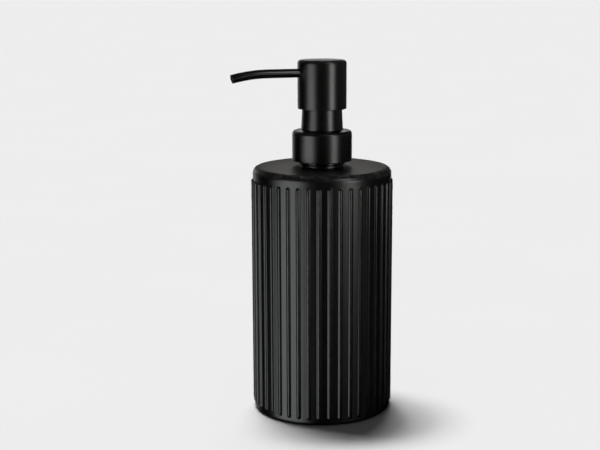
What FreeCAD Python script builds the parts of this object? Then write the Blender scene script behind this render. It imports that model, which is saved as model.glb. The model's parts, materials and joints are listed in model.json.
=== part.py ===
import FreeCAD, Part
import os
import re

import Sketcher
from FreeCAD import Vector

# Soap pump dispenser: a ribbed round bottle, and the pump that screws onto its neck.
# +Z is up, the origin is the centre of the foot, and the spout points along -X. Millimetres.

DIMENSIONS = {
    # Bottle and its non-slip pad.
    "body_height": 129.4,
    "plain_radius": 36.2,
    "body_wall": 3.0,
    "floor_thickness": 4.1,
    "shoulder_thickness": 3.4,
    "base_round": 1.2,
    "shoulder_round": 3.3,
    "inner_round": 3.0,
    "rib_count": 42,
    "rib_width": 2.8,
    "rib_height": 0.8,
    "rib_foot_gap": 2.6,
    "rib_top_gap": 6.0,
    "pad_margin": 4.2,
    "pad_thickness": 1.6,
    "pad_recess": 1.2,
    "pad_gap": 0.1,
    "pad_edge": 0.3,
    # Mouth of the bottle, and the threaded neck glued into it.
    "lip_wall": 1.2,
    "lip_height": 1.35,
    "bead_overhang": 0.7,
    "bead_height": 1.5,
    "bead_round": 0.4,
    "neck_height": 12.25,
    "neck_gap": 0.9,
    "neck_wall": 2.15,
    "neck_plug_wall": 1.3,
    "neck_plug_depth": 10.0,
    "thread_depth": 1.05,
    "thread_pitch": 3.175,
    "thread_turns": 2,
    "thread_base_width": 1.5,
    "thread_top_width": 0.9,
    "thread_start_gap": 2.25,
    "thread_clearance": 0.25,
    "thread_root_sink": 0.2,
    # Collar: a drawn metal shell pressed over a threaded liner.
    "liner_wall": 2.98,
    "liner_inset": 0.3,
    "liner_chamfer": 1.2,
    "web_thickness": 2.3,
    "web_gap": 0.1,
    "web_hole_clearance": 0.1,
    "collar_wall": 0.5,
    "collar_gap": 0.33,
    "collar_crown_gap": 0.48,
    "collar_slope": 12,
    "collar_round": 1.8,
    "collar_foot_round": 0.2,
    "collar_hole_clearance": 0.1,
    # Pump body that hangs in the neck.
    "gasket_thickness": 0.8,
    "gasket_hole_gap": 0.1,
    "gasket_inset": 0.15,
    "flange_overhang": 0.15,
    "flange_thickness": 1.2,
    "barrel_bore_radius": 6.5,
    "barrel_wall": 1.2,
    "vent_radius": 0.6,
    "vent_drop": 2.0,
    "chamber_depth": 6.7,
    "chamber_gap": 0.8,
    "seat_radius": 1.7,
    "inlet_length": 1.5,
    "tail_wall": 1.4,
    "tail_length": 10.5,
    "tube_wall": 0.8,
    "tube_floor_gap": 3.0,
    "tube_end_cut": 3.0,
    "retainer_thickness": 1.5,
    "retainer_rim_gap": 0.05,
    "retainer_port_gap": 0.1,
    "retainer_port_count": 4,
    "retainer_pin_radius": 1.2,
    "ball_radius": 2.2,
    "ball_lift": 1.5,
    "ball_gap": 0.05,
    "ball_stop_gap": 0.3,
    # Cap that closes the barrel and guides the stem, and the sleeve over it.
    "cap_waist_wall": 1.7,
    "cap_flange_width": 2.1,
    "cap_flange_thickness": 1.0,
    "cap_plug_drop": 8.7,
    "guide_clearance": 0.08,
    "guide_tip_wall": 0.4,
    "guide_shoulder": 0.6,
    "seal_wall": 0.6,
    "seal_height": 1.0,
    "seal_clearance": 0.06,
    "sleeve_gap": 0.1,
    "sleeve_taper": 0.6,
    "sleeve_wall": 0.5,
    "sleeve_lip": 0.6,
    "sleeve_foot_gap": 0.2,
    "sleeve_overlap": 0.56,
    # Head, spout and stem.
    "stroke": 10.0,
    "stroke_gap": 0.5,
    "head_stop_gap": 0.6,
    "head_skirt_gap": 1.15,
    "head_wall": 0.6,
    "head_crown": 0.7,
    "head_dome": 0.4,
    "head_round": 1.7,
    "head_inner_round": 1.1,
    "head_foot_round": 0.25,
    "head_over_spout": 6.5,
    "core_boss_wall": 1.6,
    "core_skirt_wall": 1.15,
    "core_floor": 1.15,
    "channel_headroom": 0.6,
    "stem_radius": 4.0,
    "stem_wall": 1.6,
    "stem_socket_depth": 4.1,
    "spout_over_stem": 3.3,
    "spout_radius": 2.25,
    "spout_wall": 0.5,
    "spout_root_gap": 1.0,
    "spout_straight": 16.35,
    "spout_bend_radius": 79.0,
    "spout_bend_angle": 14.0,
    "spout_hole_gap": 0.05,
    "ring_inset": 3.15,
    "ring_wire": 0.5,
    "ring_groove": 1.4,
    # Piston, the plug it slides on, and the spring below it.
    "piston_lag": 1.5,
    "piston_stop_gap": 0.3,
    "piston_height": 6.0,
    "piston_clearance": 0.05,
    "piston_lip_wall": 1.25,
    "piston_web_rise": 0.65,
    "piston_web": 2.9,
    "piston_bore_clearance": 0.1,
    "valve_gap": 0.05,
    "plug_neck_step": 0.6,
    "plug_head_gap": 0.6,
    "plug_head_thickness": 2.0,
    "plug_shank_wall": 0.8,
    "plug_shank": 5.0,
    "plug_port_radius": 0.6,
    "plug_nub_gap": 0.3,
    "plug_nub_height": 1.5,
    "spring_length": 30.0,
    "spring_inset": 0.7,
    "spring_wire": 0.8,
    "spring_end_gap": 0.05,
    "spring_turns": 7,
}

# Radii and levels that follow from the ones above.
DERIVED = {
    "inner_radius": "plain_radius - body_wall",
    "pad_radius": "plain_radius - pad_margin",
    "rib_round": "(rib_width ^ 2 / 4 + rib_height ^ 2) / (2 * rib_height)",
    "rib_axis": "plain_radius + rib_height - rib_round",
    "barrel_radius": "barrel_bore_radius + barrel_wall",
    "neck_bore_radius": "barrel_radius + neck_gap",
    "neck_root_radius": "neck_bore_radius + neck_wall",
    "mouth_radius": "neck_bore_radius + neck_plug_wall",
    "lip_radius": "mouth_radius + lip_wall",
    "bead_radius": "lip_radius + bead_overhang",
    "thread_radius": "neck_root_radius + thread_depth",
    "flange_radius": "neck_root_radius + flange_overhang",
    "liner_bore": "thread_radius + thread_clearance",
    "liner_thread_radius": "neck_root_radius + thread_clearance",
    "collar_inner": "liner_bore + liner_wall",
    "collar_radius": "collar_inner + collar_wall",
    "cap_waist_radius": "barrel_bore_radius + cap_waist_wall",
    "cap_flange_radius": "cap_waist_radius + cap_flange_width",
    "web_hole_radius": "cap_waist_radius + web_hole_clearance",
    "sleeve_foot_radius": "cap_flange_radius + sleeve_gap + sleeve_wall",
    "sleeve_top_radius": "sleeve_foot_radius - sleeve_taper",
    "collar_hole_radius": "sleeve_foot_radius + collar_hole_clearance",
    "head_inner": "sleeve_foot_radius + head_skirt_gap",
    "head_radius": "head_inner + head_wall",
    "stem_bore_radius": "stem_radius - stem_wall",
    "core_boss_radius": "stem_radius + core_boss_wall",
    "guide_bore": "stem_radius + guide_clearance",
    "seal_radius": "stem_radius + seal_wall",
    "guide_tip_radius": "seal_radius + guide_tip_wall",
    "guide_radius": "guide_tip_radius + guide_shoulder",
    "spout_bore": "spout_radius - spout_wall",
    "spout_root": "stem_radius + spout_root_gap",
    "spout_turn": "head_radius + spout_straight",
    "ring_place": "head_inner - ring_inset",
    "piston_radius": "barrel_bore_radius - piston_clearance",
    "piston_lip_radius": "piston_radius - piston_lip_wall",
    "plug_head_radius": "piston_lip_radius - plug_head_gap",
    "plug_neck_radius": "stem_bore_radius + plug_neck_step",
    "plug_bore_radius": "stem_bore_radius - plug_shank_wall",
    "spring_radius": "plug_head_radius - spring_inset",
    "plug_nub_radius": "spring_radius - spring_wire / 2 - plug_nub_gap",
    "chamber_radius": "ball_radius + chamber_gap",
    "tube_radius": "seat_radius + tube_wall",
    "tail_radius": "tube_radius + tail_wall",
    "port_circle": "(retainer_pin_radius + chamber_radius) / 2",
    "port_radius": "(chamber_radius - retainer_pin_radius) / 2 - retainer_port_gap",
    "foot_z": "pad_thickness - pad_recess",
    "floor_z": "foot_z + floor_thickness",
    "shoulder_z": "foot_z + body_height",
    "ceiling_z": "shoulder_z - shoulder_thickness",
    "rib_low_z": "foot_z + rib_foot_gap + rib_width / 2",
    "rib_high_z": "shoulder_z - rib_top_gap - rib_width / 2",
    "lip_z": "shoulder_z + lip_height",
    "bead_z": "lip_z + bead_height",
    "land_z": "lip_z + neck_height",
    "thread_z": "bead_z + thread_start_gap",
    "gasket_z": "land_z + gasket_thickness",
    "flange_z": "gasket_z + flange_thickness",
    "web_low_z": "flange_z + web_gap",
    "web_z": "web_low_z + web_thickness",
    "collar_z": "bead_z + collar_gap",
    "collar_corner_z": "web_z + collar_crown_gap",
    "collar_top_z": "collar_corner_z + (collar_radius - collar_hole_radius) * tan(collar_slope)",
    "collar_under_z": "collar_top_z - collar_wall / cos(collar_slope)",
    "collar_inner_z": "collar_under_z - (collar_inner - collar_hole_radius) * tan(collar_slope)",
    "cap_flange_low_z": "web_z + web_gap",
    "cap_flange_z": "cap_flange_low_z + cap_flange_thickness",
    "sleeve_z": "web_z + sleeve_foot_gap",
    "head_z": "collar_top_z + stroke + head_stop_gap",
    "sleeve_top_z": "head_z + sleeve_overlap",
    "guide_shoulder_z": "sleeve_top_z - sleeve_lip",
    "seal_z": "sleeve_top_z - seal_height",
    "core_z": "sleeve_top_z + stroke + stroke_gap",
    "stem_top_z": "core_z + stem_socket_depth",
    "spout_z": "stem_top_z + spout_over_stem",
    "ring_groove_radius": "spout_radius + 2 * ring_wire",
    "core_pocket_z": "spout_z - ring_groove_radius - core_floor",
    "head_top_z": "spout_z + head_over_spout",
    "head_ceiling_z": "head_top_z - head_crown",
    "cap_plug_z": "flange_z - cap_plug_drop",
    "piston_top_z": "cap_plug_z - piston_lag - piston_stop_gap",
    "piston_z": "piston_top_z - piston_height",
    "piston_web_z": "piston_z + piston_web_rise",
    "piston_web_top_z": "piston_web_z + piston_web",
    "stem_z": "piston_web_top_z + piston_lag + valve_gap",
    "plug_head_z": "piston_web_z - valve_gap",
    "spring_top_z": "plug_head_z - plug_head_thickness",
    "spring_z": "spring_top_z - spring_length",
    "spring_end_pitch": "spring_wire + spring_end_gap",
    "spring_pitch": "(spring_length - spring_wire - 2 * spring_end_pitch) / spring_turns",
    "step_z": "spring_z - retainer_thickness",
    "seat_top_z": "step_z - chamber_depth",
    "seat_z": "seat_top_z - (chamber_radius - seat_radius)",
    "inlet_z": "seat_z - inlet_length",
    "tail_z": "inlet_z - tail_length",
    "ball_rest_z": "seat_z + sqrt(ball_radius ^ 2 - seat_radius ^ 2) + ball_gap",
    "tube_z": "floor_z + tube_floor_gap",
}

NAME = re.compile(r"[a-z][a-z_]+")
CHECKED_CUTS = []

doc = FreeCAD.newDocument("SoapPumpDispenser")
sheet = doc.addObject("Spreadsheet::Sheet", "Sizes")
for row, (alias, number) in enumerate(DIMENSIONS.items(), start=1):
    sheet.set("A%d" % row, alias)
    sheet.set("B%d" % row, str(number))
    sheet.setAlias("B%d" % row, alias)
doc.recompute()


def bound(formula):
    """Turn a formula of plain names into one that reads the sheet's cells."""
    def swap(match):
        word = match.group()
        if word in DIMENSIONS:
            return "Sizes." + word
        if word in DERIVED:
            return "(" + bound(DERIVED[word]) + ")"
        return word
    return NAME.sub(swap, str(formula))


def value(formula):
    """The number that a formula gives with the sheet as it is."""
    return float(sheet.evalExpression(bound(formula)))


def tie(thing, field, formula):
    """Bind one property of an object to the sheet."""
    thing.setExpression(field, bound(formula))


def new_body(label):
    body = doc.addObject("PartDesign::Body", label)
    body.Label = label
    return body


def own_datum(body, role):
    """One of the body's own origin planes or axes."""
    return next(item for item in body.Origin.OriginFeatures if item.Role == role)


def new_sketch(body, name, plane="XZ_Plane", offset=None):
    sketch = body.newObject("Sketcher::SketchObject", body.Label + "_" + name)
    sketch.AttachmentSupport = [(own_datum(body, plane), "")]
    sketch.MapMode = "FlatFace"
    if offset is not None:
        tie(sketch, "AttachmentOffset.Base.z", offset)
    return sketch


def pin_point(sketch, geometry, position, across, up):
    """Tie one point of a sketch to the sheet, measured from the sketch's origin."""
    for kind, formula, in_line in (("DistanceX", across, "Vertical"), ("DistanceY", up, "Horizontal")):
        size = value(formula)
        if abs(size) < 1e-9:
            sketch.addConstraint(Sketcher.Constraint(in_line, geometry, position, -1, 1))
        elif size > 0:
            index = sketch.addConstraint(Sketcher.Constraint(kind, -1, 1, geometry, position, size))
            tie(sketch, "Constraints[%d]" % index, formula)
        else:
            index = sketch.addConstraint(Sketcher.Constraint(kind, geometry, position, -1, 1, -size))
            tie(sketch, "Constraints[%d]" % index, "-(%s)" % formula)


def arc_between(first, second, radius):
    """The short counter-clockwise arc from one point to another."""
    chord = second - first
    middle = (first + second) * 0.5
    rise = (radius ** 2 - (chord.Length / 2) ** 2) ** 0.5
    centre = middle + Vector(-chord.y, chord.x, 0).normalize() * rise
    crown = centre + (middle - centre).normalize() * radius
    return Part.ArcOfCircle(first, crown, second)


def draw(sketch, corners):
    """Closed outline through (across, up) corners, listed counter-clockwise.

    A corner with a third value is reached by an outward arc of that radius.
    """
    points = [Vector(value(corner[0]), value(corner[1]), 0) for corner in corners]
    total = len(corners)
    for index, corner in enumerate(corners):
        start = points[index - 1]
        end = points[index]
        if len(corner) == 3:
            sketch.addGeometry(arc_between(start, end, value(corner[2])), False)
        else:
            sketch.addGeometry(Part.LineSegment(start, end), False)
    for index, corner in enumerate(corners):
        after = (index + 1) % total
        sketch.addConstraint(Sketcher.Constraint("Coincident", index, 2, after, 1))
        pin_point(sketch, index, 2, corner[0], corner[1])
        if len(corner) == 3:
            number = sketch.addConstraint(Sketcher.Constraint("Radius", index, value(corner[2])))
            tie(sketch, "Constraints[%d]" % number, corner[2])
    return sketch


def draw_circles(sketch, circles):
    """Circles given as (across, up, radius)."""
    for across, up, radius in circles:
        centre = Vector(value(across), value(up), 0)
        index = sketch.addGeometry(Part.Circle(centre, Vector(0, 0, 1), value(radius)), False)
        pin_point(sketch, index, 3, across, up)
        number = sketch.addConstraint(Sketcher.Constraint("Radius", index, value(radius)))
        tie(sketch, "Constraints[%d]" % number, radius)
    return sketch


def centre_line(sketch, start, end):
    """A construction line to turn a profile about."""
    first = Vector(value(start[0]), value(start[1]), 0)
    second = Vector(value(end[0]), value(end[1]), 0)
    index = sketch.addGeometry(Part.LineSegment(first, second), True)
    pin_point(sketch, index, 1, *start)
    pin_point(sketch, index, 2, *end)


def feature(body, kind, name, **fields):
    item = body.newObject("PartDesign::" + kind, body.Label + "_" + name)
    for field, content in fields.items():
        setattr(item, field, content)
    return item


def revolve(body, name, corners):
    """Turn an outline about the body's Z axis."""
    sketch = draw(new_sketch(body, name + "_outline"), corners)
    turned = feature(body, "Revolution", name, Profile=sketch, ReferenceAxis=(sketch, ["V_Axis"]), Angle=360)
    doc.recompute()
    return turned


def cut(body, kind, name, **fields):
    """A Pocket or Groove, remembered so that it can be shown to have removed something."""
    before = body.Tip
    item = feature(body, kind, name, **fields)
    CHECKED_CUTS.append((item, before))
    return item


def rims(shape, circles):
    """Names of the circular edges at the given (radius, height) pairs."""
    names = []
    for radius, height in circles:
        for number, edge in enumerate(shape.Edges, start=1):
            if edge.Degenerated or not isinstance(edge.Curve, Part.Circle):
                continue
            right_size = abs(edge.Curve.Radius - value(radius)) < 1e-4
            if right_size and abs(edge.Curve.Center.z - value(height)) < 1e-4:
                names.append("Edge%d" % number)
    return names


def round_rims(body, name, radius, circles):
    """Fillet circular edges with a radius from the sheet."""
    base = body.Tip
    item = feature(body, "Fillet", name, Base=(base, rims(base.Shape, circles)))
    tie(item, "Radius", radius)
    doc.recompute()
    return item


def chamfer_rims(body, name, size, circles):
    base = body.Tip
    item = feature(body, "Chamfer", name, Base=(base, rims(base.Shape, circles)))
    tie(item, "Size", size)
    doc.recompute()
    return item


def helix(body, name, sketch, pitch, turns):
    """Right-hand helical sweep of a profile about the Z axis, starting where the profile lies."""
    item = feature(body, "AdditiveHelix", name, Profile=sketch, ReferenceAxis=(sketch, ["V_Axis"]))
    item.Mode = "pitch-turns-angle"
    tie(item, "Pitch", pitch)
    tie(item, "Turns", turns)
    doc.recompute()
    return item


def thread_ridge(root, crest, middle):
    """Trapezoid section of one ridge, counter-clockwise, its root sunk in the wall."""
    outline = [
        (root, middle + " - thread_base_width / 2"),
        (crest, middle + " - thread_top_width / 2"),
        (crest, middle + " + thread_top_width / 2"),
        (root, middle + " + thread_base_width / 2"),
    ]
    if value(crest) < value(root):
        outline.reverse()
    return outline


def make_bottle():
    """Cast bottle: a thick-walled cylinder with half-round ribs and a raised mouth."""
    body = new_body("bottle_body")
    revolve(body, "wall", [
        ("0", "foot_z + pad_recess"),
        ("pad_radius + pad_gap", "foot_z + pad_recess"),
        ("pad_radius + pad_gap", "foot_z"),
        ("plain_radius", "foot_z"),
        ("plain_radius", "shoulder_z"),
        ("lip_radius", "shoulder_z"),
        ("lip_radius", "lip_z"),
        ("mouth_radius", "lip_z"),
        ("mouth_radius", "ceiling_z"),
        ("inner_radius", "ceiling_z"),
        ("inner_radius", "floor_z"),
        ("0", "floor_z"),
    ])
    round_rims(body, "shoulder_fillet", "shoulder_round", [("plain_radius", "shoulder_z")])
    round_rims(body, "base_fillet", "base_round", [("plain_radius", "foot_z")])
    inside = [("inner_radius", "ceiling_z"), ("inner_radius", "floor_z")]
    round_rims(body, "inner_fillet", "inner_round", inside)
    sketch = new_sketch(body, "rib_outline")
    low = Vector(value("rib_axis"), value("rib_low_z"), 0)
    high = Vector(value("rib_axis"), value("rib_high_z"), 0)
    across = Vector(value("rib_round"), 0, 0)
    along = Vector(0, value("rib_round"), 0)
    quarter = across * 0.5 ** 0.5
    climb = along * 0.5 ** 0.5
    sketch.addGeometry(Part.ArcOfCircle(low - along, low + quarter - climb, low + across), False)
    sketch.addGeometry(Part.LineSegment(low + across, high + across), False)
    sketch.addGeometry(Part.ArcOfCircle(high + across, high + quarter + climb, high + along), False)
    sketch.addGeometry(Part.LineSegment(high + along, low - along), False)
    for index in range(4):
        sketch.addConstraint(Sketcher.Constraint("Coincident", index, 2, (index + 1) % 4, 1))
    pin_point(sketch, 0, 3, "rib_axis", "rib_low_z")
    pin_point(sketch, 2, 3, "rib_axis", "rib_high_z")
    number = sketch.addConstraint(Sketcher.Constraint("Radius", 0, value("rib_round")))
    tie(sketch, "Constraints[%d]" % number, "rib_round")
    sketch.addConstraint(Sketcher.Constraint("Equal", 0, 2))
    sketch.addConstraint(Sketcher.Constraint("Vertical", 0, 1, 0, 3))
    sketch.addConstraint(Sketcher.Constraint("Horizontal", 0, 2, 0, 3))
    sketch.addConstraint(Sketcher.Constraint("Horizontal", 2, 1, 2, 3))
    sketch.addConstraint(Sketcher.Constraint("Vertical", 2, 2, 2, 3))
    centre_line(sketch, ("rib_axis", "rib_low_z"), ("rib_axis", "rib_high_z"))
    rib = feature(body, "Revolution", "rib", Profile=sketch, ReferenceAxis=(sketch, ["Axis0"]), Angle=360)
    doc.recompute()
    pattern_axis = (own_datum(body, "Z_Axis"), [""])
    ribs = feature(body, "PolarPattern", "ribs", Originals=[rib], Axis=pattern_axis, Angle=360)
    tie(ribs, "Occurrences", "rib_count")
    body.Tip = ribs
    return body


def make_base_pad():
    """Non-slip disc bonded into the recess under the bottle."""
    body = new_body("base_pad")
    sketch = draw_circles(new_sketch(body, "disc", "XY_Plane"), [("0", "0", "pad_radius")])
    pad = feature(body, "Pad", "sheet", Profile=sketch)
    tie(pad, "Length", "pad_thickness")
    doc.recompute()
    chamfer_rims(body, "edge", "pad_edge", [("pad_radius", "0")])
    return body


def make_neck_insert():
    """Threaded neck: a plug in the bottle's mouth, a bead on its lip and a threaded tube."""
    body = new_body("neck_insert")
    revolve(body, "tube", [
        ("neck_bore_radius", "lip_z - neck_plug_depth"),
        ("mouth_radius", "lip_z - neck_plug_depth"),
        ("mouth_radius", "lip_z"),
        ("bead_radius", "lip_z"),
        ("bead_radius", "bead_z"),
        ("neck_root_radius", "bead_z"),
        ("neck_root_radius", "land_z"),
        ("neck_bore_radius", "land_z"),
    ])
    round_rims(body, "bead_fillet", "bead_round", [("bead_radius", "lip_z"), ("bead_radius", "bead_z")])
    section = thread_ridge("neck_root_radius - thread_root_sink", "thread_radius", "thread_z")
    helix(body, "thread", draw(new_sketch(body, "thread_section"), section), "thread_pitch", "thread_turns")
    return body


def make_collar_shell():
    """Drawn metal skirt with a gently sloping top and a hole for the sleeve."""
    body = new_body("collar_shell")
    revolve(body, "skirt", [
        ("collar_inner", "collar_z"),
        ("collar_radius", "collar_z"),
        ("collar_radius", "collar_corner_z"),
        ("collar_hole_radius", "collar_top_z"),
        ("collar_hole_radius", "collar_under_z"),
        ("collar_inner", "collar_inner_z"),
    ])
    round_rims(body, "shoulder_fillet", "collar_round", [("collar_radius", "collar_corner_z")])
    inner_corner = [("collar_inner", "collar_inner_z")]
    round_rims(body, "inner_fillet", "collar_round - collar_wall", inner_corner)
    round_rims(body, "foot_fillet", "collar_foot_round", [("collar_radius", "collar_z")])
    return body


def make_collar_insert():
    """Threaded liner pressed into the collar, its web trapped over the pump's flange."""
    body = new_body("collar_insert")
    revolve(body, "liner", [
        ("liner_bore", "collar_z + liner_inset"),
        ("collar_inner", "collar_z + liner_inset"),
        ("collar_inner", "web_z"),
        ("web_hole_radius", "web_z"),
        ("web_hole_radius", "web_low_z"),
        ("liner_bore", "web_low_z"),
    ])
    chamfer_rims(body, "top_edge", "liner_chamfer", [("collar_inner", "web_z")])
    section = thread_ridge(
        "liner_bore + thread_root_sink", "liner_thread_radius", "thread_z + thread_pitch / 2"
    )
    helix(body, "thread", draw(new_sketch(body, "thread_section"), section), "thread_pitch", "thread_turns")
    return body


def make_neck_gasket():
    """Flat washer between the neck's land and the pump's flange."""
    body = new_body("neck_gasket")
    circles = [("0", "0", "flange_radius - gasket_inset"), ("0", "0", "barrel_radius + gasket_hole_gap")]
    sketch = draw_circles(new_sketch(body, "ring", "XY_Plane", "land_z"), circles)
    pad = feature(body, "Pad", "washer", Profile=sketch)
    tie(pad, "Length", "gasket_thickness")
    return body


def make_pump_housing():
    """Pump barrel with its flange, ball chamber, valve seat and tail for the dip tube."""
    body = new_body("pump_housing")
    revolve(body, "barrel", [
        ("tube_radius", "tail_z"),
        ("tail_radius", "tail_z"),
        ("tail_radius", "seat_z"),
        ("chamber_radius + barrel_wall", "seat_top_z"),
        ("chamber_radius + barrel_wall", "step_z - 2 * barrel_wall"),
        ("barrel_radius", "step_z - barrel_wall / 2"),
        ("barrel_radius", "gasket_z"),
        ("flange_radius", "gasket_z"),
        ("flange_radius", "flange_z"),
        ("barrel_bore_radius", "flange_z"),
        ("barrel_bore_radius", "step_z"),
        ("chamber_radius", "step_z"),
        ("chamber_radius", "seat_top_z"),
        ("seat_radius", "seat_z"),
        ("seat_radius", "inlet_z"),
        ("tube_radius", "inlet_z"),
    ])
    vent = draw_circles(new_sketch(body, "vent_circle"), [("0", "gasket_z - vent_drop", "vent_radius")])
    hole = cut(body, "Pocket", "vent", Profile=vent)
    tie(hole, "Length", "barrel_radius + barrel_wall")
    return body


def make_housing_cap():
    """Cap that closes the barrel: a plug, a waist through the collar and a tall stem guide."""
    body = new_body("housing_cap")
    revolve(body, "guide", [
        ("guide_bore", "cap_plug_z"),
        ("barrel_bore_radius", "cap_plug_z"),
        ("barrel_bore_radius", "flange_z"),
        ("cap_waist_radius", "flange_z"),
        ("cap_waist_radius", "cap_flange_low_z"),
        ("cap_flange_radius", "cap_flange_low_z"),
        ("cap_flange_radius", "cap_flange_z"),
        ("guide_radius", "cap_flange_z"),
        ("guide_radius", "guide_shoulder_z"),
        ("guide_tip_radius", "guide_shoulder_z"),
        ("guide_tip_radius", "sleeve_top_z"),
        ("seal_radius", "sleeve_top_z"),
        ("seal_radius", "seal_z"),
        ("guide_bore", "seal_z"),
    ])
    return body


def make_stem_seal():
    """Soft ring in the top of the guide that wipes the stem."""
    body = new_body("stem_seal")
    circles = [("0", "0", "seal_radius"), ("0", "0", "stem_radius + seal_clearance")]
    sketch = draw_circles(new_sketch(body, "ring", "XY_Plane", "seal_z"), circles)
    pad = feature(body, "Pad", "washer", Profile=sketch)
    tie(pad, "Length", "seal_height")
    return body


def make_neck_sleeve():
    """Tapered metal sleeve that stands on the cap and covers the stem guide."""
    body = new_body("neck_sleeve")
    revolve(body, "cone", [
        ("sleeve_foot_radius - sleeve_wall", "sleeve_z"),
        ("sleeve_foot_radius", "sleeve_z"),
        ("sleeve_top_radius", "sleeve_top_z"),
        ("guide_tip_radius", "sleeve_top_z"),
        ("guide_tip_radius", "guide_shoulder_z"),
        ("sleeve_top_radius - sleeve_wall", "guide_shoulder_z"),
    ])
    round_rims(body, "top_fillet", "sleeve_lip / 2", [("sleeve_top_radius", "sleeve_top_z")])
    return body


def make_ball_retainer():
    """Ported disc under the spring, with a pin that stops the ball."""
    body = new_body("ball_retainer")
    disc = draw_circles(
        new_sketch(body, "disc", "XY_Plane", "step_z"),
        [("0", "0", "barrel_bore_radius - retainer_rim_gap")],
    )
    pad = feature(body, "Pad", "plate", Profile=disc)
    tie(pad, "Length", "retainer_thickness")
    doc.recompute()
    pin_sketch = new_sketch(body, "pin_circle", "XY_Plane", "step_z")
    pin = draw_circles(pin_sketch, [("0", "0", "retainer_pin_radius")])
    stop = feature(body, "Pad", "pin", Profile=pin, Reversed=True)
    tie(stop, "Length", "step_z - ball_rest_z - ball_radius - ball_lift - ball_stop_gap")
    doc.recompute()
    port_sketch = new_sketch(body, "port_circle", "XY_Plane", "spring_z")
    draw_circles(port_sketch, [("port_circle", "0", "port_radius")])
    port = cut(body, "Pocket", "port", Profile=port_sketch)
    tie(port, "Length", "2 * retainer_thickness")
    doc.recompute()
    ports = feature(body, "PolarPattern", "ports", Originals=[port])
    ports.Axis = (own_datum(body, "Z_Axis"), [""])
    ports.Angle = 360
    tie(ports, "Occurrences", "retainer_port_count")
    body.Tip = ports
    return body


def make_check_ball():
    """Inlet ball on its seat."""
    ball = doc.addObject("Part::Sphere", "check_ball")
    ball.Label = "check_ball"
    tie(ball, "Radius", "ball_radius")
    tie(ball, "Placement.Base.z", "ball_rest_z")
    return ball


def make_dip_tube():
    """Tube from the pump's tail to just above the bottle's floor, cut at a slant."""
    body = new_body("dip_tube")
    circles = [("0", "0", "tube_radius"), ("0", "0", "seat_radius")]
    sketch = draw_circles(new_sketch(body, "ring", "XY_Plane", "tube_z"), circles)
    pad = feature(body, "Pad", "tube", Profile=sketch)
    tie(pad, "Length", "inlet_z - tube_z")
    doc.recompute()
    wedge = draw(new_sketch(body, "slant"), [
        ("-2 * tube_radius", "tube_z - tube_end_cut / 2"),
        ("2 * tube_radius", "tube_z - tube_end_cut / 2"),
        ("2 * tube_radius", "tube_z + 1.5 * tube_end_cut"),
    ])
    slant = cut(body, "Pocket", "end_cut", Profile=wedge, Midplane=True)
    tie(slant, "Length", "4 * tube_radius")
    return body


def make_return_spring():
    """Helical spring between the retainer and the stem plug, with a closed coil at each end."""
    body = new_body("return_spring")
    low = "spring_z + spring_wire / 2"
    runs = [
        ("lower_end", low, "spring_end_pitch", "1"),
        ("coils", low + " + spring_end_pitch", "spring_pitch", "spring_turns"),
        ("upper_end", low + " + spring_end_pitch + spring_pitch * spring_turns", "spring_end_pitch", "1"),
    ]
    for name, start, pitch, turns in runs:
        circle = [("spring_radius", start, "spring_wire / 2")]
        helix(body, name, draw_circles(new_sketch(body, name + "_wire"), circle), pitch, turns)
    return body


def make_stem():
    """Hollow stem from the head down to the piston."""
    body = new_body("stem")
    circles = [("0", "0", "stem_radius"), ("0", "0", "stem_bore_radius")]
    sketch = draw_circles(new_sketch(body, "ring", "XY_Plane", "stem_z"), circles)
    pad = feature(body, "Pad", "tube", Profile=sketch)
    tie(pad, "Length", "stem_top_z - stem_z")
    return body


def make_stem_plug():
    """Plug in the stem's end: a shank, a ported neck, and a head that seats the piston."""
    body = new_body("stem_plug")
    revolve(body, "turned", [
        ("0", "spring_top_z - plug_nub_height"),
        ("plug_nub_radius", "spring_top_z - plug_nub_height"),
        ("plug_nub_radius", "spring_top_z"),
        ("plug_head_radius", "spring_top_z"),
        ("plug_head_radius", "plug_head_z"),
        ("plug_neck_radius", "plug_head_z"),
        ("plug_neck_radius", "stem_z"),
        ("stem_bore_radius", "stem_z"),
        ("stem_bore_radius", "stem_z + plug_shank"),
        ("plug_bore_radius", "stem_z + plug_shank"),
        ("plug_bore_radius", "plug_head_z"),
        ("0", "plug_head_z"),
    ])
    circle = [("0", "plug_head_z + 2 * plug_port_radius", "plug_port_radius")]
    sketch = draw_circles(new_sketch(body, "port_circle"), circle)
    ports = cut(body, "Pocket", "ports", Profile=sketch, Midplane=True)
    tie(ports, "Length", "4 * plug_neck_radius")
    return body


def make_piston():
    """Piston ring: a web that slides on the plug, and two lips that seal in the barrel."""
    body = new_body("piston")
    lip = "piston_lip_radius"
    bore = "plug_neck_radius + piston_bore_clearance"
    revolve(body, "ring", [
        (bore, "piston_web_z"),
        (lip, "piston_web_z"),
        (lip, "piston_z"),
        ("piston_radius", "piston_z"),
        ("piston_radius", "piston_top_z"),
        (lip, "piston_top_z"),
        (lip, "piston_web_top_z"),
        (bore, "piston_web_top_z"),
    ])
    return body


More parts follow.
